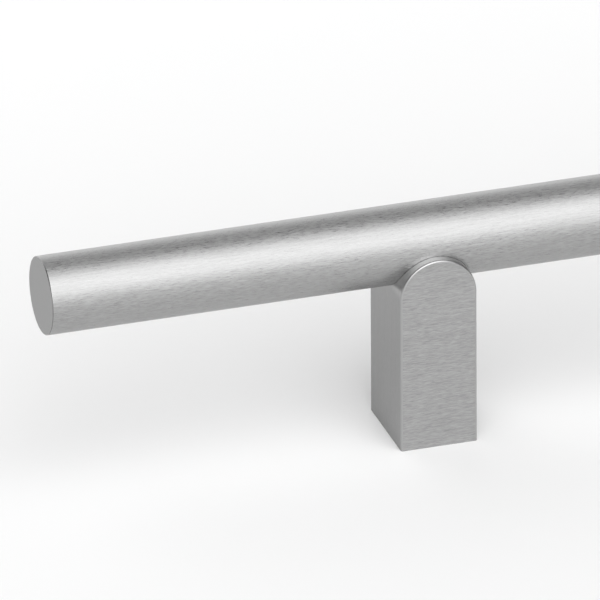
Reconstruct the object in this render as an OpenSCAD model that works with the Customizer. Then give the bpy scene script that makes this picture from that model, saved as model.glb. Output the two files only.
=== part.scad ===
// Furniture pull handle: a solid round bar carried on two saddle posts.
// Each post is a flat-sided block with an arched top. The bar lies in a round seat cut through
// the arch, so that two thin ears hug its front and back. A headless set screw inside each post
// is screwed up into the bar, and the rest of the same thread takes the furniture screw.
// The feet stand on z = 0, the bar runs along X, and the origin is midway between the posts.

/* [Bar] */
// Diameter of the bar
bar_d = 12; // [11:0.5:16]
// Length of bar beyond the middle of each post
overhang = 60; // [20:1:100]
// Radius of the rounded edge at each end of the bar
bar_edge_r = 0.15; // [0.1:0.05:1]

/* [Posts] */
// Distance between the middles of the posts, which is the hole spacing on the furniture
hole_spacing = 192; // [96:32:320]
// Height of the finger gap, from the feet up to the bar
grip_h = 25; // [20:1:40]
// Width of a post along the bar
post_w = 12; // [8:0.5:16]
// Thickness of the post in front of the bar, and behind it
ear_t = 1.5; // [1:0.1:4]
// Radius of the rounded edges of a post
post_edge_r = 0.3; // [0.1:0.1:1]

/* [Threads] */
// Nominal diameter of the thread in the posts and the bar
thread_d = 4; // [3:0.5:5]
// Pitch of that thread
thread_pitch = 0.7; // [0.5:0.05:0.8]
// Length of a set screw
stud_l = 16; // [12:1:20]
// Length of a set screw that is screwed into the bar
stud_in_bar = 7; // [5:0.5:8]
// Width across the flats of the set screw's hexagon socket
key_w = 2; // [1.5:0.1:2.2]
// Depth of the hexagon socket
key_depth = 2.5; // [1:0.5:4]
// Depth and width of the countersink at the mouth of each threaded hole
mouth_c = 0.4; // [0.1:0.1:1]
// Point angle of the drill that makes the blind hole in the bar
drill_angle = 118; // [90:1:140]
// Turns of thread drilled past the end of the set screw
runout_turns = 2; // [1:0.5:3]

/* [Fits] */
// Gap between the bar and a post's seat, at the sides of the bar
seat_gap = 0.08; // [0.04:0.01:0.15]
// Gap between the bar and a post's seat, under the bar
rest_gap = 0.01; // [0.01:0.01:0.04]
// Gap round a set screw, and under it, in its holes
thread_gap = 0.03; // [0.01:0.01:0.1]

/* [Hidden] */
$fn = 128;

// Sides of the socket, and overlap that carries a cut clear of a face
hexagon = 6;
over = 1;
sides = [-1, 1];

bar_r = bar_d / 2;
bar_l = hole_spacing + 2 * overhang;
axis_z = grip_h + bar_r;

// The ears end level with the axis of the bar, so the bar can be laid in from above
post_d = bar_d + 2 * ear_t;
arch_r = post_w / 2;
spring_z = axis_z - arch_r;
seat_r = bar_r + seat_gap;
seat_z = axis_z + seat_gap - rest_gap;

// A free thread is drawn at its tapping drill, and a filled one at the screw it holds
tap_r = (thread_d - thread_pitch) / 2;
stud_r = thread_d / 2;
stud_hole_r = stud_r + thread_gap;
mouth_r = tap_r + mouth_c;
stud_top_z = grip_h + stud_in_bar;
stud_z = stud_top_z - stud_l;
drill_z = stud_top_z + thread_gap + runout_turns * thread_pitch;
drill_tip_h = tap_r / tan(drill_angle / 2);

metal = "silver";
screw_metal = "darkgray";

// Rectangle centred on the origin, with round corners
module round_rect(w, d, r) {
    square([w - 2 * r, d], center = true);
    square([w, d - 2 * r], center = true);
    for (x = sides, y = sides)
        translate([x * (w / 2 - r), y * (d / 2 - r)])
            circle(r = r);
}

// The half of a rounded rectangle on the positive side, ready to be turned about its long axis
module half_round_rect(w, d, r) {
    intersection() {
        round_rect(w, d, r);
        translate([0, -d / 2])
            square([w / 2, d]);
    }
}

// Block with an arched top: the plan goes straight up, and half a turn of it makes the arch
module arched_block() {
    linear_extrude(spring_z)
        round_rect(post_w, post_d, post_edge_r);
    translate([0, 0, spring_z])
        rotate([90, 0, 0])
            rotate_extrude(angle = 180)
                half_round_rect(post_w, post_d, post_edge_r);
}

// Round seat along X, in which the bar lies
module bar_seat() {
    translate([0, 0, seat_z])
        rotate([0, 90, 0])
            cylinder(r = seat_r, h = post_w + 2 * over, center = true);
}

// Hole up through a post: countersunk mouth, free thread, then the room of the set screw
module post_bore() {
    rotate_extrude()
        polygon([
            [0, -over],
            [mouth_r + over, -over],
            [tap_r, mouth_c],
            [tap_r, stud_z - thread_gap],
            [stud_hole_r, stud_z - thread_gap],
            [stud_hole_r, axis_z],
            [0, axis_z]
        ]);
}

// Blind hole up into the bar: the room of the set screw, then the tapping drill and its point
module bar_hole() {
    rotate_extrude()
        polygon([
            [0, grip_h - over],
            [stud_hole_r, grip_h - over],
            [stud_hole_r, stud_top_z + thread_gap],
            [tap_r, stud_top_z + thread_gap],
            [tap_r, drill_z],
            [0, drill_z + drill_tip_h]
        ]);
}

// Headless set screw, upright, with chamfered ends and a hexagon socket in its lower end
module set_screw() {
    chamfer = stud_r - tap_r;
    difference() {
        rotate_extrude()
            polygon([
                [0, stud_z],
                [tap_r, stud_z],
                [stud_r, stud_z + chamfer],
                [stud_r, stud_top_z - chamfer],
                [tap_r, stud_top_z],
                [0, stud_top_z]
            ]);
        translate([0, 0, stud_z - over])
            cylinder(d = key_w / cos(180 / hexagon), h = key_depth + over, $fn = hexagon);
    }
}

// One post, standing over its furniture screw
module post() {
    difference() {
        arched_block();
        bar_seat();
        post_bore();
    }
}

// Solid bar with rounded end edges, threaded from below over each post
module bar() {
    color(metal)
        difference() {
            translate([0, 0, axis_z])
                rotate([0, 90, 0])
                    rotate_extrude()
                        half_round_rect(bar_d, bar_l, bar_edge_r);
            for (side = sides)
                translate([side * hole_spacing / 2, 0, 0])
                    bar_hole();
        }
}

// Post on the negative side of X
module post_left() {
    color(metal)
        translate([-hole_spacing / 2, 0, 0])
            post();
}

// Post on the positive side of X
module post_right() {
    color(metal)
        translate([hole_spacing / 2, 0, 0])
            post();
}

// Set screw in the left post
module stud_left() {
    color(screw_metal)
        translate([-hole_spacing / 2, 0, 0])
            set_screw();
}

// Set screw in the right post
module stud_right() {
    color(screw_metal)
        translate([hole_spacing / 2, 0, 0])
            set_screw();
}

bar();
post_left();
post_right();
stud_left();
stud_right();
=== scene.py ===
"""Dresses a furniture pull handle: a round brushed bar lying in the seats of two arched posts.

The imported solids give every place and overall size. The bar, the posts and the set screws are
modelled again here as fine meshes, with real threads, eased edges and brushed finishes.
"""

import logging
import math
from dataclasses import dataclass, field
from enum import Enum, IntEnum

import bmesh
import bpy
from mathutils import Matrix, Vector


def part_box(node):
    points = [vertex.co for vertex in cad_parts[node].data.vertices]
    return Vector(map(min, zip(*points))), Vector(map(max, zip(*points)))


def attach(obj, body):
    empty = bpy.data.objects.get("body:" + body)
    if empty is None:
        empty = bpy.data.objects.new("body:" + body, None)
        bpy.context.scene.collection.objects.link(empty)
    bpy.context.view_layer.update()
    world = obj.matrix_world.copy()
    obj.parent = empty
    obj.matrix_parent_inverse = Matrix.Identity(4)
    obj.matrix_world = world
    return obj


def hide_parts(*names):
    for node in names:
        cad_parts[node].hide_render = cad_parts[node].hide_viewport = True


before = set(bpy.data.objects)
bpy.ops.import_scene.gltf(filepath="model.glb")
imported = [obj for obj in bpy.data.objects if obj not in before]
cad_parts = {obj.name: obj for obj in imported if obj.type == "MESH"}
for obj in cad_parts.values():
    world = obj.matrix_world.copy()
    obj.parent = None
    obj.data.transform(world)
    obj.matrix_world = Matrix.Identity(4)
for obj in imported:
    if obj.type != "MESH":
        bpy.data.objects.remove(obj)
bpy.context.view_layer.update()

MM = 0.001
WELD = 1e-4 * MM
HAIR = 1e-6 * MM
ARCH_FOOT = 25.0 * MM
ARCH_TOP = 31.0 * MM
BODY = "root"
X_AXIS = Vector((1.0, 0.0, 0.0))
Y_AXIS = Vector((0.0, 1.0, 0.0))
Z_AXIS = Vector((0.0, 0.0, 1.0))

log = logging.getLogger("handle")


class Cut(Enum):
    """How one closed mesh acts on another."""

    TAKE_AWAY = "DIFFERENCE"
    KEEP_SHARED = "INTERSECT"


class Side(Enum):
    """Which half of the handle a piece belongs to."""

    LEFT = "left"
    RIGHT = "right"


class Grain(Enum):
    """The way that brush lines run on a surface."""

    ALONG_BAR = "along_bar"
    ACROSS_FACE = "across_face"
    ROUND_EDGE = "round_edge"
    NONE = "none"


class BarZone(IntEnum):
    """The parts of the bar that have a finish of their own, in the order of its materials."""

    WALL = 0
    END = 1
    RIM = 2
    HOLE = 3


class PostZone(IntEnum):
    """The parts of a post that have a finish of their own, in the order of its materials."""

    FACE = 0
    SIDE = 1
    EASED = 2
    BORED = 3


@dataclass
class NodeBench:
    """Lays out and links shader nodes in one tree.

    Attributes:
        tree: The node tree that the nodes go into.
    """

    tree: bpy.types.NodeTree

    def add(self, kind: str, label: str = "", **settings: object) -> bpy.types.Node:
        """Adds a node and sets its plain properties.

        Args:
            kind: Blender's name for the type of node.
            label: What the node does, in a few words.
            settings: Properties of the node and their values.

        Returns:
            The new node.
        """
        node = self.tree.nodes.new(kind)
        node.label = label
        for name, value in settings.items():
            setattr(node, name, value)
        return node

    def link(self, source: bpy.types.NodeSocket, target: bpy.types.NodeSocket) -> None:
        """Joins an output to an input."""
        self.tree.links.new(source, target)

    def math(self, operation: str, first: object, second: object = 0.0) -> bpy.types.NodeSocket:
        """Adds a sum of two values.

        Args:
            operation: The kind of sum, such as MULTIPLY.
            first: A socket or a number.
            second: A socket or a number.

        Returns:
            The output socket.
        """
        node = self.add("ShaderNodeMath", operation=operation)
        for socket, value in zip(node.inputs, (first, second)):
            self.feed(value, socket)
        return node.outputs[0]

    def vector(self, operation: str, first: object, second: object) -> bpy.types.NodeSocket:
        """Adds a sum of two vectors.

        Args:
            operation: The kind of sum, such as CROSS_PRODUCT.
            first: A socket or a vector.
            second: A socket or a vector.

        Returns:
            The output socket.
        """
        node = self.add("ShaderNodeVectorMath", operation=operation)
        for socket, value in zip(node.inputs, (first, second)):
            self.feed(value, socket)
        return node.outputs[0]

    def feed(self, value: object, socket: bpy.types.NodeSocket) -> None:
        """Links a socket to an input, or sets the input to a number or vector."""
        if isinstance(value, bpy.types.NodeSocket):
            self.link(value, socket)
        else:
            socket.default_value = value

    def place(self, axis: str) -> bpy.types.NodeSocket:
        """Gives the place of each point along one of the piece's own axes.

        Args:
            axis: X, Y or Z.

        Returns:
            The place, in metres.
        """
        split = self.add("ShaderNodeSeparateXYZ")
        self.link(self.add("ShaderNodeTexCoord").outputs["Object"], split.inputs["Vector"])
        return split.outputs[axis]

    def ramp(
        self,
        label: str,
        value: bpy.types.NodeSocket,
        given: tuple[float, float],
        wanted: tuple[float, float],
    ) -> bpy.types.NodeSocket:
        """Maps a value from one range to another, and holds it inside that one.

        Args:
            label: What the result is.
            value: The value.
            given: The ends of the range that it comes in.
            wanted: What the result is at each end.

        Returns:
            The result.
        """
        node = self.add("ShaderNodeMapRange", label)
        self.link(value, node.inputs["Value"])
        names = ("From Min", "From Max", "To Min", "To Max")
        for name, number in zip(names, (*given, *wanted)):
            node.inputs[name].default_value = number
        return node.outputs["Result"]

    def grey(self, level: bpy.types.NodeSocket, target: bpy.types.NodeSocket) -> None:
        """Links a level to a socket for a colour, as a grey."""
        mixer = self.add("ShaderNodeCombineColor")
        for channel in mixer.inputs:
            self.link(level, channel)
        self.link(mixer.outputs["Color"], target)


class BrushMarks:
    """The node group of long, slightly wavy marks that an abrasive belt leaves in metal.

    Attributes:
        NAME: What the group is called.
        FINE_SCALE: Fineness of the fine marks, where the broad ones have 1.
        FINE_SHARE: Strength of the fine marks, where the broad ones have 1.
        CLOUD_SCALE: Fineness of the slow cloud, on the same scale.
        CLOUD_SHARE: Strength of the slow cloud, on the same scale.
        WAVE_SCALE: Fineness of the sideways waves, on the same scale.
        MIDDLE: The middle value of every noise.
        REACH: How far the marks mostly stray from the middle.
        SPREAD: How far the marks and the cloud together stray from their middle at most.
    """

    NAME = "brush_marks"
    FINE_SCALE = 2.6
    FINE_SHARE = 0.35
    CLOUD_SCALE = 0.16
    CLOUD_SHARE = 0.2
    WAVE_SCALE = 0.55
    MIDDLE = 0.5
    REACH = 0.2
    SPREAD = 0.425

    @classmethod
    def group(cls) -> bpy.types.NodeTree:
        """Gives the group, and builds it the first time.

        Returns:
            The node group, with Coordinates and Waviness in, and Marks and Cloud out.
        """
        found = bpy.data.node_groups.get(cls.NAME)
        return found or cls._build()

    @classmethod
    def _build(cls) -> bpy.types.NodeTree:
        """Builds the group from stretched noise at three widths.

        Returns:
            The new node group.
        """
        tree = bpy.data.node_groups.new(cls.NAME, "ShaderNodeTree")
        sockets = tree.interface
        sockets.new_socket("Coordinates", in_out="INPUT", socket_type="NodeSocketVector")
        sockets.new_socket("Waviness", in_out="INPUT", socket_type="NodeSocketFloat")
        sockets.new_socket("Marks", in_out="OUTPUT", socket_type="NodeSocketFloat")
        sockets.new_socket("Cloud", in_out="OUTPUT", socket_type="NodeSocketFloat")
        bench = NodeBench(tree)
        given = bench.add("NodeGroupInput")
        out = bench.add("NodeGroupOutput")
        wave = cls._noise(bench, given.outputs["Coordinates"], cls.WAVE_SCALE, detail=0.0)
        sway = bench.math("SUBTRACT", wave, cls.MIDDLE)
        sway = bench.math("MULTIPLY", sway, given.outputs["Waviness"])
        bent = bench.vector("ADD", given.outputs["Coordinates"], sway)
        broad = cls._noise(bench, bent, 1.0, detail=1.0)
        fine = cls._noise(bench, bent, cls.FINE_SCALE, detail=1.0)
        fine = bench.math("MULTIPLY", bench.math("SUBTRACT", fine, cls.MIDDLE), cls.FINE_SHARE)
        bench.link(bench.math("ADD", broad, fine), out.inputs["Marks"])
        cloud = cls._noise(bench, given.outputs["Coordinates"], cls.CLOUD_SCALE, detail=1.0)
        bench.link(cloud, out.inputs["Cloud"])
        return tree

    @staticmethod
    def _noise(
        bench: NodeBench, place: bpy.types.NodeSocket, scale: float, detail: float
    ) -> bpy.types.NodeSocket:
        """Adds a noise texture.

        Args:
            bench: The bench of the group.
            place: The coordinates that it reads.
            scale: How many times finer than a unit it is.
            detail: How many finer layers it has.

        Returns:
            Its value, from 0 to 1.
        """
        noise = bench.add("ShaderNodeTexNoise", noise_dimensions="3D")
        noise.inputs["Scale"].default_value = scale
        noise.inputs["Detail"].default_value = detail
        bench.link(place, noise.inputs["Vector"])
        return noise.outputs[0]


@dataclass(frozen=True)
class Steel:
    """A finish of bare stainless steel.

    Attributes:
        name: What the finish is called.
        grain: The way its brush lines run.
        tone: How light the metal is, from 0 to 1.
        tone_swing: How much the tone changes from mark to mark.
        roughness: How dull the metal is.
        roughness_swing: How much the dullness changes from mark to mark.
        anisotropy: How far highlights stretch across the marks.
        mark_width: Width of a typical mark, in metres.
        mark_length: Length of a typical mark, in metres.
        waviness: How far a mark strays sideways, in widths.
        relief: Depth of the marks, in metres.
        painted_arch_light: How many times lighter the metal is painted at the top of a post's arch,
            a painted highlight on the crown.
    """

    name: str
    grain: Grain
    tone: float = 0.5
    tone_swing: float = 0.28
    roughness: float = 0.36
    roughness_swing: float = 0.03
    anisotropy: float = 0.75
    mark_width: float = 0.045 * MM
    mark_length: float = 1.05 * MM
    waviness: float = 0.3
    relief: float = 0.0005 * MM
    painted_arch_light: float = 1.0

    def material(self) -> bpy.types.Material:
        """Builds the shader of this finish.

        Returns:
            The new material.
        """
        made = bpy.data.materials.new(self.name)
        made.use_nodes = True
        bench = NodeBench(made.node_tree)
        shader = made.node_tree.nodes["Principled BSDF"]
        shader.inputs["Metallic"].default_value = 1.0
        shader.inputs["Anisotropic"].default_value = self.anisotropy
        marks, cloud = self._marks(bench)
        self._tone(bench, marks, cloud, shader.inputs["Base Color"])
        self._dullness(bench, marks, shader.inputs["Roughness"])
        bump = bench.add("ShaderNodeBump", "depth of the marks")
        bump.inputs["Distance"].default_value = self.relief
        bench.link(marks, bump.inputs["Height"])
        bench.link(bump.outputs["Normal"], shader.inputs["Normal"])
        if self.grain is not Grain.NONE:
            bench.link(self._across(bench), shader.inputs["Tangent"])
        return made

    def _stretch(self) -> Vector:
        """Says how many marks there are to a metre along each axis.

        Returns:
            The scale of the pattern along X, Y and Z.
        """
        along = 1.0 / self.mark_length
        across = 1.0 / self.mark_width
        if self.grain is Grain.NONE:
            return Vector((across, across, across))
        if self.grain is Grain.ROUND_EDGE:
            return Vector((along, across, along))
        return Vector((along, across, across))

    def _marks(self, bench: NodeBench) -> tuple[bpy.types.NodeSocket, bpy.types.NodeSocket]:
        """Places the brush marks on the piece's own coordinates.

        Args:
            bench: The bench of the material.

        Returns:
            The marks and the slow cloud, each from 0 to 1.
        """
        place = bench.add("ShaderNodeTexCoord")
        turn = bench.add("ShaderNodeMapping", "length and width of a mark")
        turn.inputs["Scale"].default_value = self._stretch()
        bench.link(place.outputs["Object"], turn.inputs["Vector"])
        group = bench.add("ShaderNodeGroup", node_tree=BrushMarks.group())
        group.inputs["Waviness"].default_value = self.waviness
        bench.link(turn.outputs["Vector"], group.inputs["Coordinates"])
        return group.outputs["Marks"], group.outputs["Cloud"]

    def _tone(
        self,
        bench: NodeBench,
        marks: bpy.types.NodeSocket,
        cloud: bpy.types.NodeSocket,
        target: bpy.types.NodeSocket,
    ) -> None:
        """Links the grey of the metal, which changes with the marks and the cloud.

        Args:
            bench: The bench of the material.
            marks: The marks, from 0 to 1.
            cloud: The slow cloud, from 0 to 1.
            target: The socket for the colour.
        """
        mixed = bench.math("ADD", marks, bench.math("MULTIPLY", cloud, BrushMarks.CLOUD_SHARE))
        middle = BrushMarks.MIDDLE * (1.0 + BrushMarks.CLOUD_SHARE)
        level = bench.ramp(
            "grey of the metal",
            mixed,
            (middle - BrushMarks.SPREAD, middle + BrushMarks.SPREAD),
            (self.tone * (1.0 - self.tone_swing), self.tone * (1.0 + self.tone_swing)),
        )
        # The grey is multiplied by painted light that grows up a post's arch.
        bench.grey(bench.math("MULTIPLY", level, self._painted_arch_light(bench)), target)

    def _painted_arch_light(self, bench: NodeBench) -> bpy.types.NodeSocket:
        """Gives the painted highlight on the arch: how many times lighter the metal is painted,
        growing from the arch's foot to its top.

        Args:
            bench: The bench of the material.

        Returns:
            The factor, which is 1 below the arch.
        """
        height = bench.place("Z")
        return bench.ramp("painted light on the arch", height, (ARCH_FOOT, ARCH_TOP), (1.0, self.painted_arch_light))

    def _dullness(
        self, bench: NodeBench, marks: bpy.types.NodeSocket, target: bpy.types.NodeSocket
    ) -> None:
        """Links the roughness, which changes with the marks.

        Args:
            bench: The bench of the material.
            marks: The marks, from 0 to 1.
            target: The socket for the roughness.
        """
        level = bench.ramp(
            "dullness of the metal",
            marks,
            (BrushMarks.MIDDLE - BrushMarks.REACH, BrushMarks.MIDDLE + BrushMarks.REACH),
            (self.roughness - self.roughness_swing, self.roughness + self.roughness_swing),
        )
        bench.link(level, target)

    def _across(self, bench: NodeBench) -> bpy.types.NodeSocket:
        """Gives the direction across the marks, along which highlights stretch.

        Args:
            bench: The bench of the material.

        Returns:
            A vector that lies in the surface.
        """
        if self.grain is Grain.ROUND_EDGE:
            direction = bench.add("ShaderNodeCombineXYZ", "across the marks")
            direction.inputs["Y"].default_value = 1.0
            return direction.outputs["Vector"]
        surface = bench.add("ShaderNodeNewGeometry")
        return bench.vector("CROSS_PRODUCT", surface.outputs["Normal"], X_AXIS)


@dataclass(frozen=True)
class Finishes:
    """Every finish on the handle.

    Attributes:
        bar: The wall of the bar.
        bar_end: The flat ends of the bar.
        bar_rim_painted_line: The rounded edge round each end, smoother than the wall and painted
            darker to draw a shade line round the end.
        post_face: The front and back of a post.
        post_side: The sides of a post and its arch, painted lighter toward the top of the arch.
        eased: The rounded edges of a post, painted a little lighter toward the top of the arch.
        bored: The seats, the holes and the feet.
        screw: The set screws.
    """

    bar: Steel = Steel(
        "brushed_bar",
        Grain.ALONG_BAR,
        tone=0.364,
        tone_swing=0.42,
        roughness=0.35,
        roughness_swing=0.1,
        relief=0.0002 * MM,
    )
    bar_end: Steel = Steel(
        "faced_bar_end", Grain.NONE, tone=0.272, tone_swing=0.04, anisotropy=0.0, relief=0.0
    )
    # Painted shade: the rim's tone is set darker than the wall and the end, drawing a dark line
    # round each end.
    bar_rim_painted_line: Steel = Steel(
        "turned_bar_rim_painted_dark",
        Grain.NONE,
        tone=0.25,
        tone_swing=0.04,
        roughness=0.15,
        anisotropy=0.0,
        relief=0.0,
    )
    post_face: Steel = Steel("brushed_post_face", Grain.ACROSS_FACE, tone=0.37, tone_swing=0.42)
    # Painted highlight: the arch is painted twice as light at its top as at its foot.
    post_side: Steel = Steel(
        "brushed_post_side", Grain.ROUND_EDGE, tone=0.326, tone_swing=0.28, painted_arch_light=2.0
    )
    # Painted highlight: the eased edges are painted a little lighter toward the top of the arch.
    eased: Steel = Steel(
        "eased_corner",
        Grain.NONE,
        tone=0.4,
        tone_swing=0.02,
        roughness=0.35,
        anisotropy=0.0,
        painted_arch_light=1.04,
    )
    bored: Steel = Steel("bored_seat", Grain.NONE, tone=0.34, anisotropy=0.0)
    screw: Steel = Steel("set_screw_steel", Grain.NONE, tone=0.25, anisotropy=0.0)


class MeshShop:
    """Turns bmesh shapes into finished pieces."""

    SHARP_ANGLE = math.radians(32.0)
    WEIGHT = 50

    @staticmethod
    def piece(name: str, shape: bmesh.types.BMesh) -> bpy.types.Object:
        """Makes an object at the origin from a shape, and frees the shape.

        Args:
            name: The name of the piece.
            shape: Its closed mesh, in place.

        Returns:
            The new object.
        """
        bmesh.ops.recalc_face_normals(shape, faces=shape.faces)
        mesh = bpy.data.meshes.new(name)
        shape.to_mesh(mesh)
        shape.free()
        made = bpy.data.objects.new(name, mesh)
        bpy.context.scene.collection.objects.link(made)
        return made

    @staticmethod
    def bake(made: bpy.types.Object) -> None:
        """Applies every modifier of a piece to its mesh."""
        graph = bpy.context.evaluated_depsgraph_get()
        rough = made.data
        made.data = bpy.data.meshes.new_from_object(
            made.evaluated_get(graph), preserve_all_data_layers=True, depsgraph=graph
        )
        made.modifiers.clear()
        made.data.name = made.name
        bpy.data.meshes.remove(rough)

    @classmethod
    def cut(cls, made: bpy.types.Object, tool: bmesh.types.BMesh, how: Cut) -> None:
        """Cuts a piece with a tool, and takes the tool away.

        Args:
            made: The piece.
            tool: The closed mesh that cuts it, in place.
            how: What the tool does to the piece.
        """
        cutter = cls.piece("cutter", tool)
        modifier = made.modifiers.new("cut", "BOOLEAN")
        modifier.operation = how.value
        modifier.solver = "EXACT"
        modifier.object = cutter
        cls.bake(made)
        bpy.data.objects.remove(cutter)

    @classmethod
    def smooth(cls, made: bpy.types.Object) -> None:
        """Shades a piece smooth, with flat faces kept flat up to their eased edges."""
        made.data.shade_smooth()
        made.data.set_sharp_from_angle(angle=cls.SHARP_ANGLE)
        weigh = made.modifiers.new("weigh", "WEIGHTED_NORMAL")
        weigh.weight = cls.WEIGHT
        weigh.keep_sharp = True
        cls.bake(made)

    @staticmethod
    def dress(made: bpy.types.Object, finishes: list[bpy.types.Material]) -> None:
        """Gives a piece its materials, the first of them everywhere for now."""
        made.data.materials.clear()
        for finish in finishes:
            made.data.materials.append(finish)


@dataclass
class Thread:
    """A right-hand metric thread round the Z axis.

    Attributes:
        radius: Nominal outer radius.
        pitch: Rise of one turn.
        steps: Flat steps in one turn.
        crest_share: Width of the flat crest, in pitches.
        depth_share: Depth of the thread, in pitches.
        flank: Angle between a flank and the plane across the thread.
        spare_turns: Turns laid past each end before the ends are cut square.
    """

    radius: float = 2.0 * MM
    pitch: float = 0.7 * MM
    steps: int = 48
    crest_share: float = 0.125
    depth_share: float = 0.6134
    flank: float = math.radians(30.0)
    spare_turns: tuple[int, int] = (2, 1)

    def rod(self, low: float, high: float, slack: float = 0.0) -> bmesh.types.BMesh:
        """Builds a closed threaded rod.

        Args:
            low: Height of its lower end.
            high: Height of its upper end.
            slack: How much it is grown on every side, as for a tapped hole.

        Returns:
            The rod, on the Z axis.
        """
        shape = bmesh.new()
        chain = self._chain(shape, low, high, slack)
        bmesh.ops.spin(
            shape,
            geom=chain,
            cent=Vector(),
            axis=Z_AXIS,
            dvec=Z_AXIS * self.pitch / self.steps,
            angle=math.tau,
            steps=self.steps,
            use_merge=False,
        )
        bmesh.ops.remove_doubles(shape, verts=shape.verts, dist=WELD)
        self._trim(shape, low, -Z_AXIS)
        self._trim(shape, high, Z_AXIS)
        bmesh.ops.recalc_face_normals(shape, faces=shape.faces)
        return shape

    def _chain(
        self, shape: bmesh.types.BMesh, low: float, high: float, slack: float
    ) -> list[bmesh.types.BMVert | bmesh.types.BMEdge]:
        """Lays the zigzag of the thread's section, a little longer than the rod at each end.

        Args:
            shape: The mesh that it goes into.
            low: Height of the rod's lower end.
            high: Height of the rod's upper end.
            slack: How much the section is grown.

        Returns:
            The vertices and edges of the zigzag.
        """
        outer = self.radius + slack
        inner = self.radius - self.depth_share * self.pitch + slack
        half_crest = self.crest_share * self.pitch / 2 + slack
        half_foot = half_crest + (outer - inner) * math.tan(self.flank)
        first = math.floor(low / self.pitch) - self.spare_turns[0]
        last = math.ceil(high / self.pitch) + self.spare_turns[1]
        dots = []
        for turn in range(first, last + 1):
            middle = turn * self.pitch
            dots += [
                shape.verts.new((inner, 0.0, middle - half_foot)),
                shape.verts.new((outer, 0.0, middle - half_crest)),
                shape.verts.new((outer, 0.0, middle + half_crest)),
                shape.verts.new((inner, 0.0, middle + half_foot)),
            ]
        return dots + [shape.edges.new(pair) for pair in zip(dots, dots[1:])]

    @staticmethod
    def _trim(shape: bmesh.types.BMesh, height: float, outwards: Vector) -> None:
        """Cuts the rod off square at a height and closes the end.

        Args:
            shape: The rod.
            height: Where it is cut.
            outwards: The way that the cut end faces.
        """
        everything = [*shape.verts, *shape.edges, *shape.faces]
        bmesh.ops.bisect_plane(
            shape,
            geom=everything,
            dist=HAIR,
            plane_co=Z_AXIS * height,
            plane_no=outwards,
            clear_outer=True,
        )
        rim = [
            edge
            for edge in shape.edges
            if edge.is_boundary and all(abs(dot.co.z - height) < WELD for dot in edge.verts)
        ]
        bmesh.ops.holes_fill(shape, edges=rim, sides=0)


def lathe(section: list[tuple[float, float]], steps: int) -> bmesh.types.BMesh:
    """Turns a section round the Z axis into a closed shape.

    Args:
        section: Radius and height of each corner, from one point on the axis to another.
        steps: Flat steps in the turn.

    Returns:
        The turned shape.
    """
    shape = bmesh.new()
    dots = [shape.verts.new((radius, 0.0, height)) for radius, height in section]
    chain = dots + [shape.edges.new(pair) for pair in zip(dots, dots[1:])]
    bmesh.ops.spin(
        shape,
        geom=chain,
        cent=Vector(),
        axis=Z_AXIS,
        angle=math.tau,
        steps=steps,
        use_merge=True,
    )
    bmesh.ops.remove_doubles(shape, verts=shape.verts, dist=WELD)
    bmesh.ops.recalc_face_normals(shape, faces=shape.faces)
    return shape


def cylinder_along_x(radius: float, length: float, centre: Vector, steps: int) -> bmesh.types.BMesh:
    """Makes a closed cylinder that lies along X.

    Args:
        radius: Its radius.
        length: Its length.
        centre: Its middle.
        steps: Flat steps round it.

    Returns:
        The cylinder.
    """
    shape = bmesh.new()
    bmesh.ops.create_cone(
        shape,
        cap_ends=True,
        segments=steps,
        radius1=radius,
        radius2=radius,
        depth=length,
        matrix=Matrix.Translation(centre) @ Matrix.Rotation(math.pi / 2, 4, "Y"),
    )
    return shape


@dataclass
class ScrewHoles:
    """The threaded holes in the posts and the bar, and the set screw that fills them.

    Attributes:
        thread: The thread that runs through all of them.
        slack: Gap between the set screw and its holes.
        tap_radius: Radius of the tapping drill.
        mouth: Depth and width of the countersink at the foot.
        runout: Length drilled past the end of the set screw.
        drill_angle: Half of the drill's point angle.
        key_width: Width across the flats of the socket.
        key_depth: Depth of the socket.
        key_sides: Sides of the socket.
        steps: Flat steps round a hole.
        over: How far a cutting tool runs past the face that it cuts.
    """

    thread: Thread = field(default_factory=Thread)
    slack: float = 0.03 * MM
    tap_radius: float = 1.65 * MM
    mouth: float = 0.4 * MM
    runout: float = 1.4 * MM
    drill_angle: float = math.radians(59.0)
    key_width: float = 2.0 * MM
    key_depth: float = 2.5 * MM
    key_sides: int = 6
    steps: int = 48
    over: float = 1.0 * MM


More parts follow.
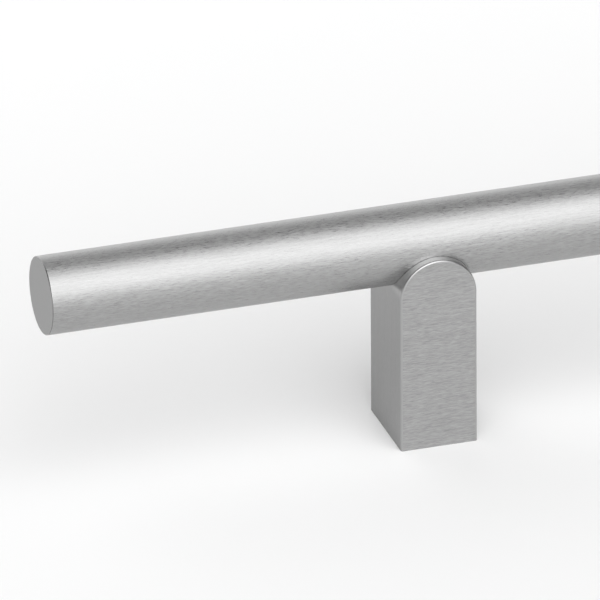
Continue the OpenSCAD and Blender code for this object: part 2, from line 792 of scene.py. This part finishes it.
@dataclass
class Bar:
    """The round bar, with a blind threaded hole over each post.

    Attributes:
        holes: The threaded holes and their screw.
        finishes: The finishes to choose from.
        node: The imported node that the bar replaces.
        edge: Radius of its rounded end edges.
        steps: Flat steps round it.
        edge_steps: Flat steps in each rounded edge.
    """

    holes: ScrewHoles
    finishes: Finishes
    node: str = "bar"
    edge: float = 0.15 * MM
    steps: int = 360
    edge_steps: int = 5

    def build(self, stations: list[float], screw_top: float) -> bpy.types.Object:
        """Models and dresses the bar.

        Args:
            stations: Places along X of the holes.
            screw_top: Height of the set screws' upper ends.

        Returns:
            The finished bar.
        """
        low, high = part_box(self.node)
        centre = (low + high) / 2
        radius = (high.z - low.z) / 2
        shape = cylinder_along_x(radius, high.x - low.x, centre, self.steps)
        rims = [
            edge
            for edge in shape.edges
            if abs(edge.verts[0].co.x - edge.verts[1].co.x) < WELD
        ]
        bmesh.ops.bevel(
            shape,
            geom=rims,
            offset=self.edge,
            affect="EDGES",
            segments=self.edge_steps,
            profile=0.5,
            material=-1,
        )
        self._score(shape, stations, radius)
        made = MeshShop.piece("round_bar", shape)
        for station in stations:
            MeshShop.cut(made, self._drilled(station, low.z, screw_top), Cut.TAKE_AWAY)
        MeshShop.smooth(made)
        self._dress(made, high.x, centre.z, radius)
        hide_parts(self.node)
        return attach(made, BODY)

    def _dress(self, made: bpy.types.Object, end: float, height: float, radius: float) -> None:
        """Gives each face of the bar the finish of its wall, end, rim or hole.

        Args:
            made: The bar.
            end: Place of the bar's end along X.
            height: Height of its axis.
            radius: Its radius.
        """
        finishes = self.finishes
        MeshShop.dress(
            made,
            [
                finishes.bar.material(),
                finishes.bar_end.material(),
                finishes.bar_rim_painted_line.material(),
                finishes.bored.material(),
            ],
        )
        flat_radius = radius * math.cos(math.pi / self.steps)
        for face in made.data.polygons:
            spot = face.center
            depth = end - abs(spot.x)
            if depth < WELD:
                face.material_index = BarZone.END
            elif depth < self.edge:
                face.material_index = BarZone.RIM
            elif math.hypot(spot.y, spot.z - height) < flat_radius - WELD:
                face.material_index = BarZone.HOLE

    @staticmethod
    def _score(shape: bmesh.types.BMesh, stations: list[float], reach: float) -> None:
        """Cuts rings into the bar's faces near each hole, so that the hole stays local."""
        for station in stations:
            for side in (-1, 1):
                bmesh.ops.bisect_plane(
                    shape,
                    geom=[*shape.verts, *shape.edges, *shape.faces],
                    plane_co=X_AXIS * (station + side * reach / 2),
                    plane_no=X_AXIS,
                )

    def _drilled(self, station: float, low: float, screw_top: float) -> bmesh.types.BMesh:
        """Builds the tool for one blind hole.

        Args:
            station: Place of the hole along X.
            low: Height of the bar's underside.
            screw_top: Height of the set screw's upper end.

        Returns:
            The closed tool, in place.
        """
        holes = self.holes
        end = screw_top + holes.slack
        tip = end + holes.runout + holes.tap_radius / math.tan(holes.drill_angle)
        wall = holes.thread.radius + holes.slack
        tool = lathe(
            [
                (0.0, low - holes.over),
                (wall, low - holes.over),
                (wall, end),
                (holes.tap_radius, end),
                (holes.tap_radius, end + holes.runout),
                (0.0, tip),
            ],
            holes.steps,
        )
        bmesh.ops.translate(tool, verts=tool.verts, vec=X_AXIS * station)
        return tool


@dataclass
class Post:
    """A saddle post: a block with an arched top and a round seat for the bar.

    Attributes:
        side: Which half of the handle it belongs to.
        holes: The threaded holes and their screw.
        finishes: The finishes to choose from.
        edge: Radius of its rounded edges.
        seat_gap: Gap beside the bar in its seat.
        rest_gap: Gap under the bar in its seat.
        arch_steps: Flat steps in a full turn of the arch.
        edge_steps: Flat steps in each rounded edge.
        seat_steps: Flat steps in a full turn of the seat.
    """

    side: Side
    holes: ScrewHoles
    finishes: Finishes
    edge: float = 0.3 * MM
    seat_gap: float = 0.08 * MM
    rest_gap: float = 0.01 * MM
    arch_steps: int = 192
    edge_steps: int = 6
    seat_steps: int = 360

    @property
    def node(self) -> str:
        """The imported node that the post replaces."""
        return f"post_{self.side.value}"

    def build(self, axis: Vector, bar_radius: float, screw_low: float) -> bpy.types.Object:
        """Models and dresses the post.

        Args:
            axis: A point on the bar's axis.
            bar_radius: Radius of the bar.
            screw_low: Height of the set screw's lower end.

        Returns:
            The finished post.
        """
        low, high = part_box(self.node)
        station = (low.x + high.x) / 2
        made = MeshShop.piece(f"saddle_post_{self.side.value}", self._block(low, high))
        seat = cylinder_along_x(
            bar_radius + self.seat_gap,
            (high.x - low.x) * 2,
            Vector((station, axis.y, axis.z + self.seat_gap - self.rest_gap)),
            self.seat_steps,
        )
        MeshShop.cut(made, seat, Cut.TAKE_AWAY)
        MeshShop.cut(made, self._tapped(station, screw_low), Cut.TAKE_AWAY)
        MeshShop.cut(made, self._bored(station, screw_low, axis.z), Cut.TAKE_AWAY)
        MeshShop.smooth(made)
        self._dress(made, low, high)
        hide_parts(self.node)
        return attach(made, BODY)

    def _block(self, low: Vector, high: Vector) -> bmesh.types.BMesh:
        """Builds the arched block with its eased edges.

        Args:
            low: Lowest corner of the post.
            high: Highest corner of the post.

        Returns:
            The closed block, in place.
        """
        radius = (high.x - low.x) / 2
        spring = high.z - radius
        centre = Vector((low.x + radius, low.y, spring))
        shape = bmesh.new()
        bmesh.ops.create_circle(
            shape,
            cap_ends=True,
            segments=self.arch_steps,
            radius=radius,
            matrix=Matrix.Translation(centre) @ Matrix.Rotation(math.pi / 2, 4, "X"),
        )
        bmesh.ops.bisect_plane(
            shape,
            geom=[*shape.verts, *shape.edges, *shape.faces],
            dist=WELD,
            plane_co=centre,
            plane_no=Z_AXIS,
            clear_inner=True,
        )
        base = [
            edge
            for edge in shape.edges
            if all(abs(dot.co.z - spring) < WELD for dot in edge.verts)
        ]
        drop = bmesh.ops.extrude_edge_only(shape, edges=base)["geom"]
        feet = [dot for dot in drop if isinstance(dot, bmesh.types.BMVert)]
        bmesh.ops.translate(shape, verts=feet, vec=-Z_AXIS * (spring - low.z))
        bmesh.ops.dissolve_edges(shape, edges=[e for e in shape.edges if not e.is_boundary])
        grown = bmesh.ops.extrude_face_region(shape, geom=list(shape.faces))["geom"]
        back = [dot for dot in grown if isinstance(dot, bmesh.types.BMVert)]
        bmesh.ops.translate(shape, verts=back, vec=Y_AXIS * (high.y - low.y))
        bmesh.ops.recalc_face_normals(shape, faces=shape.faces)
        outline = [
            edge
            for edge in shape.edges
            if abs(edge.verts[0].co.y - edge.verts[1].co.y) < WELD
            and any(dot.co.z - low.z > WELD for dot in edge.verts)
        ]
        bmesh.ops.bevel(
            shape,
            geom=outline,
            offset=self.edge,
            affect="EDGES",
            segments=self.edge_steps,
            profile=0.5,
            material=-1,
        )
        return shape

    def _tapped(self, station: float, screw_low: float) -> bmesh.types.BMesh:
        """Builds the threaded tool that taps the free part of the hole."""
        holes = self.holes
        tool = holes.thread.rod(-holes.over, screw_low, holes.slack)
        bmesh.ops.translate(tool, verts=tool.verts, vec=X_AXIS * station)
        return tool

    def _bored(self, station: float, screw_low: float, top: float) -> bmesh.types.BMesh:
        """Builds the tool for the countersink, the drilled hole and the set screw's room.

        Args:
            station: Place of the hole along X.
            screw_low: Height of the set screw's lower end.
            top: Height at which the tool is clear of the seat.

        Returns:
            The closed tool, in place.
        """
        holes = self.holes
        wall = holes.thread.radius + holes.slack
        mouth = holes.tap_radius + holes.mouth
        tool = lathe(
            [
                (0.0, -holes.over),
                (mouth + holes.over, -holes.over),
                (holes.tap_radius, holes.mouth),
                (holes.tap_radius, screw_low - holes.slack),
                (wall, screw_low - holes.slack),
                (wall, top),
                (0.0, top),
            ],
            holes.steps,
        )
        bmesh.ops.translate(tool, verts=tool.verts, vec=X_AXIS * station)
        return tool

    def _dress(self, made: bpy.types.Object, low: Vector, high: Vector) -> None:
        """Gives each face of the post the finish of its side, edge or hole.

        Args:
            made: The post.
            low: Its lowest corner.
            high: Its highest corner.
        """
        finishes = self.finishes
        MeshShop.dress(
            made,
            [
                finishes.post_face.material(),
                finishes.post_side.material(),
                finishes.eased.material(),
                finishes.bored.material(),
            ],
        )
        radius = (high.x - low.x) / 2
        middle = Vector(((low.x + high.x) / 2, 0.0, high.z - radius))
        for face in made.data.polygons:
            face.material_index = self._zone(face, low, high, middle, radius)

    def _zone(
        self,
        face: bpy.types.MeshPolygon,
        low: Vector,
        high: Vector,
        middle: Vector,
        radius: float,
    ) -> PostZone:
        """Says which part of the post a face belongs to.

        Args:
            face: The face.
            low: Lowest corner of the post.
            high: Highest corner of the post.
            middle: Centre of the arch.
            radius: Radius of the arch.

        Returns:
            The part. The arch counts as a side, and the foot as bored.
        """
        spot = face.center
        if spot.y < low.y + WELD or spot.y > high.y - WELD:
            return PostZone.FACE
        if spot.z < low.z + WELD:
            return PostZone.BORED
        rise = max(spot.z - middle.z, 0.0)
        out = math.hypot(spot.x - middle.x, rise)
        flat_radius = radius * math.cos(math.pi / self.arch_steps)
        if out > flat_radius - WELD:
            return PostZone.SIDE
        near_face = min(spot.y - low.y, high.y - spot.y) < self.edge
        if near_face and out > radius - self.edge:
            return PostZone.EASED
        return PostZone.BORED


@dataclass
class SetScrew:
    """A headless set screw that holds the bar on its post.

    Attributes:
        side: Which half of the handle it belongs to.
        holes: The threaded holes and their screw.
        finishes: The finishes to choose from.
    """

    side: Side
    holes: ScrewHoles
    finishes: Finishes

    @property
    def node(self) -> str:
        """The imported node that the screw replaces."""
        return f"stud_{self.side.value}"

    def build(self) -> bpy.types.Object:
        """Models and dresses the screw.

        Returns:
            The finished screw.
        """
        low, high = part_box(self.node)
        station = (low.x + high.x) / 2
        thread = self.holes.thread
        core = self.holes.tap_radius
        chamfer = thread.radius - core
        rod = thread.rod(low.z, high.z)
        self._place(rod, station)
        made = MeshShop.piece(f"set_screw_{self.side.value}", rod)
        blank = lathe(
            [
                (0.0, low.z),
                (core, low.z),
                (thread.radius, low.z + chamfer),
                (thread.radius, high.z - chamfer),
                (core, high.z),
                (0.0, high.z),
            ],
            self.holes.steps,
        )
        self._place(blank, station)
        MeshShop.cut(made, blank, Cut.KEEP_SHARED)
        MeshShop.cut(made, self._socket(station, low.z), Cut.TAKE_AWAY)
        MeshShop.smooth(made)
        MeshShop.dress(made, [self.finishes.screw.material()])
        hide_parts(self.node)
        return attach(made, BODY)

    @staticmethod
    def _place(shape: bmesh.types.BMesh, station: float) -> None:
        """Moves a shape along X to its post."""
        bmesh.ops.translate(shape, verts=shape.verts, vec=X_AXIS * station)

    def _socket(self, station: float, low: float) -> bmesh.types.BMesh:
        """Builds the tool for the hexagon socket."""
        holes = self.holes
        depth = holes.key_depth + holes.over
        corner = holes.key_width / 2 / math.cos(math.pi / holes.key_sides)
        tool = bmesh.new()
        centre = Vector((station, 0.0, low + holes.key_depth - depth / 2))
        bmesh.ops.create_cone(
            tool,
            cap_ends=True,
            segments=holes.key_sides,
            radius1=corner,
            radius2=corner,
            depth=depth,
            matrix=Matrix.Translation(centre),
        )
        return tool


@dataclass
class Camera:
    """A camera far away with a long lens, so that parallel edges stay parallel.

    Attributes:
        azimuth: How far it is turned round the handle, in degrees, below 0 to the left.
        elevation: How high it stands above the horizon, in degrees.
        roll: How far the picture is turned, in degrees.
        half_view: Half of its angle of view, in degrees.
        scale: Pixels to a millimetre at the left post's foot.
        foot_pixel: Where the middle of that foot lies in the picture.
        picture: Width and height of the picture, in pixels.
        sensor: Width of its sensor, in millimetres.
        near: Where its view starts, as a share of its distance from the handle.
        far: Where its view ends, as a share of that distance.
    """

    azimuth: float = -17.57
    elevation: float = 26.38
    roll: float = 0.318
    half_view: float = 0.65
    scale: float = 6.6497
    foot_pixel: tuple[float, float] = (423.17, 425.52)
    picture: float = 600.0
    sensor: float = 36.0
    near: float = 0.01
    far: float = 4.0

    def build(self, foot: Vector) -> bpy.types.Object:
        """Places the camera and makes it the scene's own.

        Args:
            foot: The middle of the left post's foot.

        Returns:
            The camera.
        """
        turn, rise = math.radians(self.azimuth), math.radians(self.elevation)
        back = Vector(
            (math.sin(turn) * math.cos(rise), -math.cos(turn) * math.cos(rise), math.sin(rise))
        )
        gaze = (-back).to_track_quat("-Z", "Y")
        half = self.picture / 2
        spread = math.tan(math.radians(self.half_view))
        distance = half * MM / (self.scale * spread)
        across = (half - self.foot_pixel[0]) / self.scale * MM
        up = (self.foot_pixel[1] - half) / self.scale * MM
        target = foot + gaze @ Vector((across, up, 0.0))
        data = bpy.data.cameras.new("camera")
        data.sensor_width = self.sensor
        data.lens = self.sensor / 2 / spread
        data.clip_start = distance * self.near
        data.clip_end = distance * self.far
        made = bpy.data.objects.new("camera", data)
        made.rotation_mode = "QUATERNION"
        made.rotation_quaternion = gaze @ Matrix.Rotation(
            math.radians(-self.roll), 3, "Z"
        ).to_quaternion()
        made.location = target + back * distance
        bpy.context.scene.collection.objects.link(made)
        bpy.context.scene.camera = made
        return made


@dataclass(frozen=True)
class SoftLight:
    """A large soft light, round and without an edge.

    Attributes:
        azimuth: Where it stands round the handle, in degrees, 0 in front and 90 at the right.
        elevation: How high it stands, in degrees.
        sharpness: How quickly it fades away from its middle.
        strength: Its light at the middle.
    """

    azimuth: float
    elevation: float
    sharpness: float
    strength: float

    def aim(self) -> Vector:
        """Gives the direction of its middle.

        Returns:
            A vector of length 1.
        """
        turn, rise = math.radians(self.azimuth), math.radians(self.elevation)
        flat = math.cos(rise)
        return Vector((math.sin(turn) * flat, -math.cos(turn) * flat, math.sin(rise)))

    def shine(self, bench: NodeBench, direction: bpy.types.NodeSocket) -> bpy.types.NodeSocket:
        """Adds the nodes of the light.

        Args:
            bench: The bench of the sky.
            direction: The direction looked in.

        Returns:
            How much light comes from there.
        """
        facing = bench.add("ShaderNodeVectorMath", operation="DOT_PRODUCT")
        bench.link(direction, facing.inputs[0])
        facing.inputs[1].default_value = self.aim()
        away = bench.math("SUBTRACT", facing.outputs["Value"], 1.0)
        fade = bench.math("EXPONENT", bench.math("MULTIPLY", away, self.sharpness))
        return bench.math("MULTIPLY", fade, self.strength)


@dataclass
class Studio:
    """A pale floor under six soft lights: three in front, one high up and two behind.

    Attributes:
        floor_reach: Half of the floor's width.
        floor_tone: How light the floor is under the handle, where it is painted darkest.
        far_painted_light: How light the floor is painted far in front of it and behind it, as
            painted light.
        fade: Distances from the handle between which the painted floor tone grows lighter.
        floor_roughness: How dull the floor is.
        floor_shine: How much the floor shines.
        backdrop: How light the backdrop is, past the floor.
        backdrop_top: How high the backdrop reaches, as the sine of its elevation.
        lights: The soft lights.
    """

    floor_reach: float = 12.0
    floor_tone: float = 0.9
    far_painted_light: float = 0.935
    fade: tuple[float, float] = (70.0 * MM, 150.0 * MM)
    floor_roughness: float = 0.9
    floor_shine: float = 0.2
    backdrop: float = 1.0
    backdrop_top: float = 0.015
    lights: tuple[SoftLight, ...] = (
        SoftLight(azimuth=-25.0, elevation=28.0, sharpness=8.0, strength=1.62),
        SoftLight(azimuth=0.0, elevation=28.0, sharpness=8.0, strength=2.51),
        SoftLight(azimuth=10.0, elevation=48.0, sharpness=8.0, strength=0.83),
        SoftLight(azimuth=40.0, elevation=65.0, sharpness=15.0, strength=1.86),
        SoftLight(azimuth=180.0, elevation=0.0, sharpness=4.0, strength=2.07),
        SoftLight(azimuth=210.0, elevation=45.0, sharpness=15.0, strength=1.35),
    )

    def build(self) -> None:
        """Makes the floor and the sky."""
        self._floor()
        self._sky()
        bpy.context.scene.view_settings.view_transform = "Standard"

    def _floor(self) -> None:
        """Lays the floor."""
        shape = bmesh.new()
        bmesh.ops.create_grid(shape, x_segments=1, y_segments=1, size=self.floor_reach)
        made = MeshShop.piece("floor", shape)
        paint = bpy.data.materials.new("pale_floor")
        paint.use_nodes = True
        bench = NodeBench(paint.node_tree)
        shader = paint.node_tree.nodes["Principled BSDF"]
        # Painted light: the floor's grey grows lighter with distance from the handle.
        away = bench.math("ABSOLUTE", bench.place("Y"))
        level = bench.ramp("grey of the floor", away, self.fade, (self.floor_tone, self.far_painted_light))
        bench.grey(level, shader.inputs["Base Color"])
        shader.inputs["Roughness"].default_value = self.floor_roughness
        shader.inputs["Specular IOR Level"].default_value = self.floor_shine
        made.data.materials.append(paint)

    def _sky(self) -> None:
        """Paints the soft lights into the sky, over a white backdrop round the floor."""
        world = bpy.data.worlds.new("studio")
        world.use_nodes = True
        bpy.context.scene.world = world
        bench = NodeBench(world.node_tree)
        direction = bench.add("ShaderNodeTexCoord").outputs["Generated"]
        total = 0.0
        for light in self.lights:
            total = bench.math("ADD", light.shine(bench, direction), total)
        split = bench.add("ShaderNodeSeparateXYZ")
        bench.link(direction, split.inputs["Vector"])
        low = bench.math("LESS_THAN", split.outputs["Z"], self.backdrop_top)
        choice = bench.add("ShaderNodeMix", "lights or backdrop", data_type="FLOAT")
        bench.link(low, choice.inputs[0])
        bench.link(total, choice.inputs[2])
        choice.inputs[3].default_value = self.backdrop
        background = world.node_tree.nodes["Background"]
        bench.link(choice.outputs[0], background.inputs["Strength"])
        background.inputs["Color"].default_value = (1.0, 1.0, 1.0, 1.0)


def main() -> None:
    """Builds the camera, the studio and every piece of the handle."""
    logging.basicConfig(level=logging.INFO, format="%(name)s: %(message)s")
    posts = {side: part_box(f"post_{side.value}") for side in Side}
    screws = {side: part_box(f"stud_{side.value}") for side in Side}
    bar_low, bar_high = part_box("bar")
    axis = (bar_low + bar_high) / 2
    bar_radius = (bar_high.z - bar_low.z) / 2
    stations = [(low.x + high.x) / 2 for low, high in posts.values()]
    Camera().build(Vector((stations[0], 0.0, 0.0)))
    Studio().build()
    holes = ScrewHoles()
    finishes = Finishes()
    pieces = [Bar(holes, finishes).build(stations, screws[Side.LEFT][1].z)]
    for side in Side:
        pieces.append(Post(side, holes, finishes).build(axis, bar_radius, screws[side][0].z))
        pieces.append(SetScrew(side, holes, finishes).build())
    for made in pieces:
        log.info("%s: %d faces", made.name, len(made.data.polygons))


if __name__ == "__main__":
    main()
